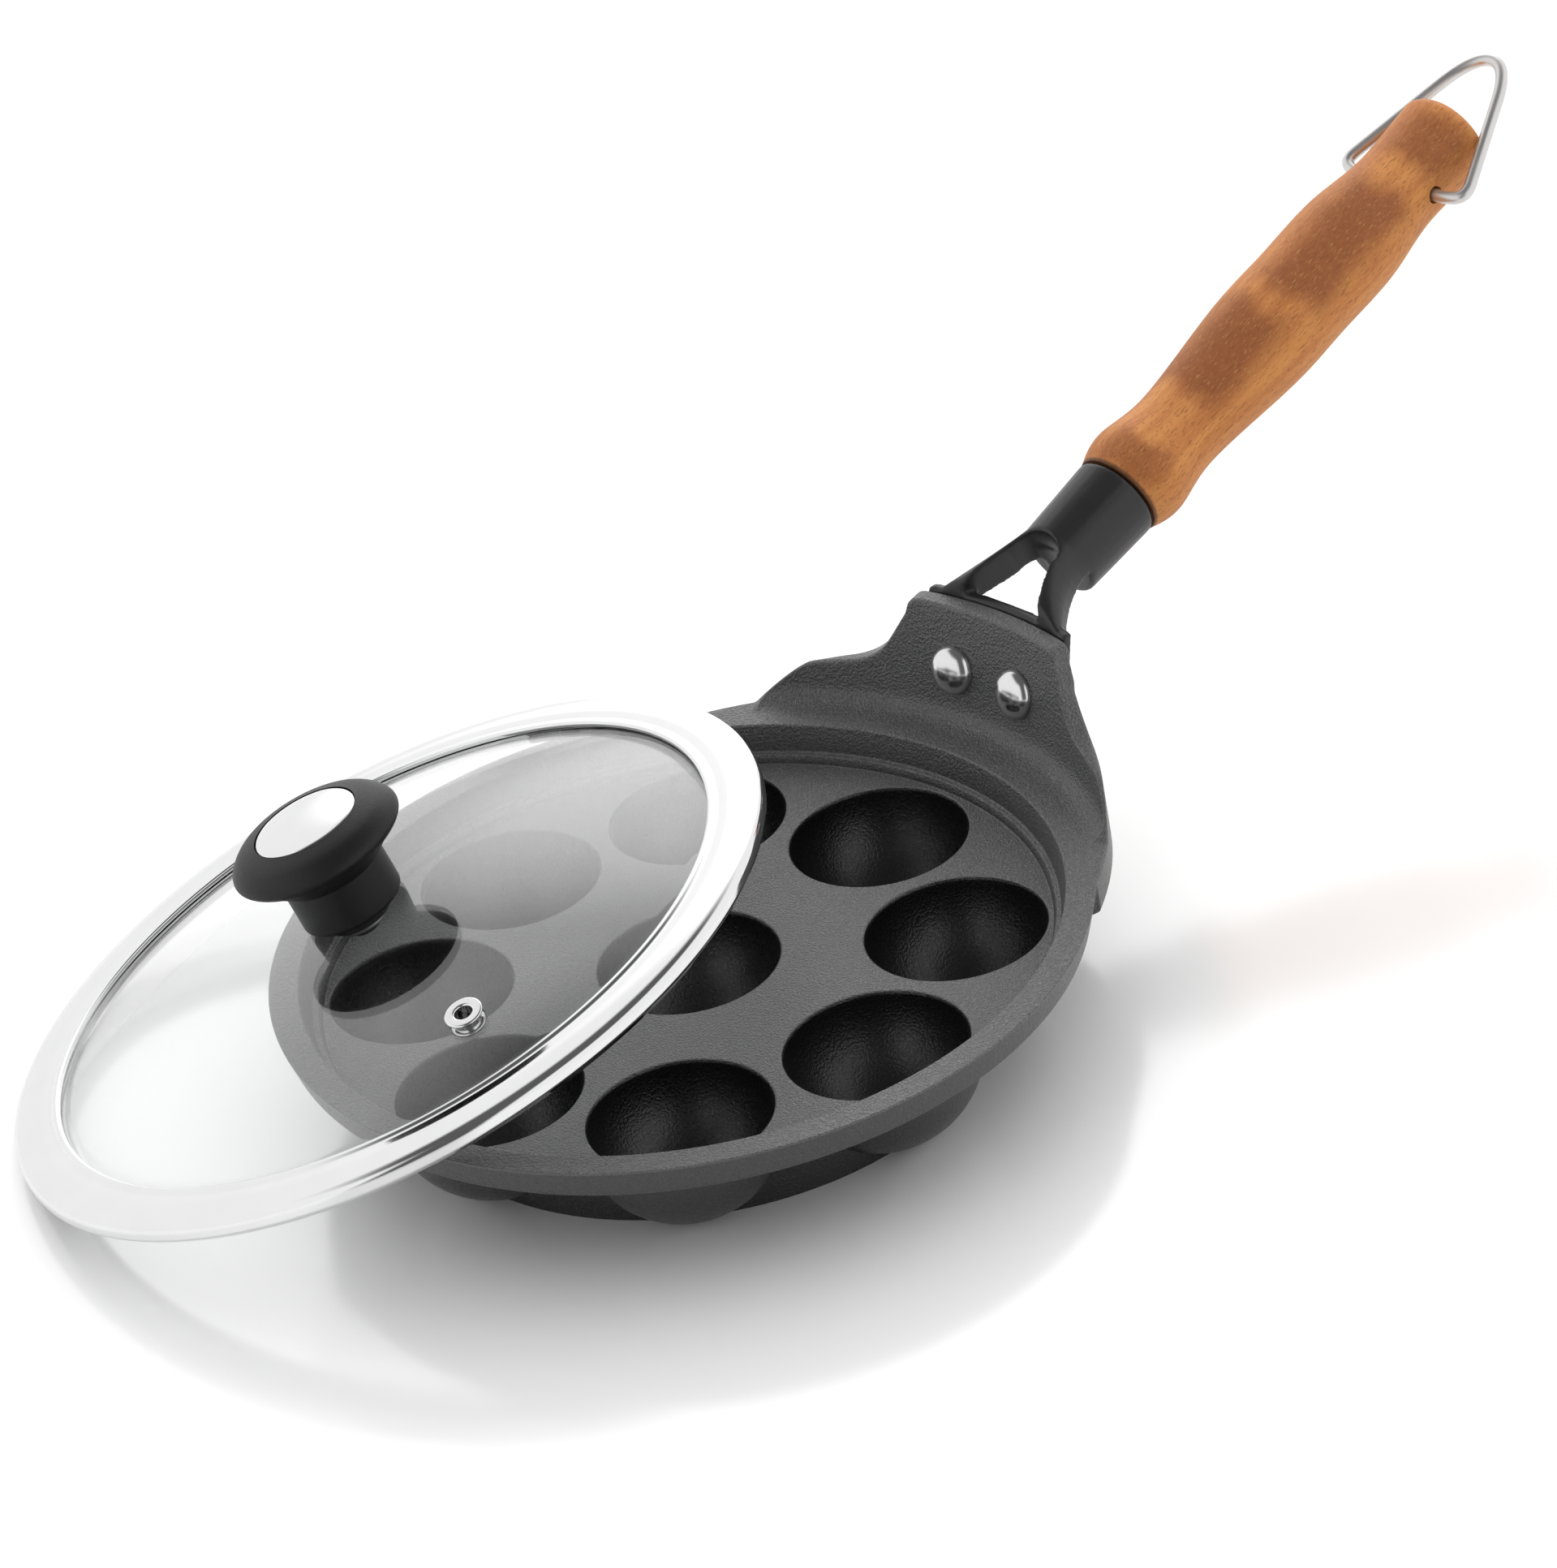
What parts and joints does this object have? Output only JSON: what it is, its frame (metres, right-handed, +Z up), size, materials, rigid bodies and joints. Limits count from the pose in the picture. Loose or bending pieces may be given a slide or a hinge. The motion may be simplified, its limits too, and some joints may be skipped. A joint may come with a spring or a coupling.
{
  "type": "paniyaram pan",
  "caption": "Cast pan with round cavities in a recessed plate, a riveted bracket, a turned wooden grip with a wire hanging loop, and a domed glass lid with a knob leaning on its rim.",
  "frame": {"origin": "middle of the pan's base, on the flat under the middle cavity", "axes": "+X from the pan's middle towards the handle, +Z up, the lid leans towards -X and +Y"},
  "size_m": [0.4836, 0.2685, 0.1351],
  "materials": {
    "non_stick": "cast aluminium under a fine-textured charcoal non-stick coating",
    "satin_black": "cast aluminium painted satin black",
    "rivet_left_steel": "polished",
    "rivet_right_steel": "polished",
    "beech": "turned beech, oiled, with scorched bands",
    "grip_screw_steel": "zinc plated",
    "wire_steel": "drawn wire",
    "lid_rim_steel": "polished stainless sheet",
    "clear_glass": "clear toughened glass",
    "vent_steel": "polished",
    "knob_plastic": "moulded phenolic",
    "knob_cap_steel": "polished disc",
    "insert_brass": "machined",
    "gasket_rubber": "moulded",
    "washer_steel": "zinc plated",
    "knob_screw_steel": "zinc plated"
  },
  "bodies": {
    "pan": {"pan_body": "non_stick", "handle_bracket": "satin_black", "rivet_left": "rivet_left_steel", "rivet_right": "rivet_right_steel", "handle_grip": "beech", "grip_screw": "grip_screw_steel"},
    "lid": {"lid_rim": "lid_rim_steel", "lid_glass": "clear_glass", "vent_eyelet": "vent_steel", "knob_body": "knob_plastic", "knob_cap": "knob_cap_steel", "knob_insert": "insert_brass", "knob_gasket": "gasket_rubber", "knob_washer": "washer_steel", "knob_screw": "knob_screw_steel"},
    "loop": {"hanging_loop": "wire_steel"}
  },
  "joints": [
    {"name": "lid_lift", "type": "slide", "parent": "pan", "child": "lid", "axis": [0, 0, 1], "range_m": [0, 0.16]},
    {"name": "loop_swing", "type": "hinge", "parent": "pan", "child": "loop", "pos_m": [0.28657, 0, 0.11424], "axis": [0, 1, 0], "range_deg": [-140, 155]}
  ]
}
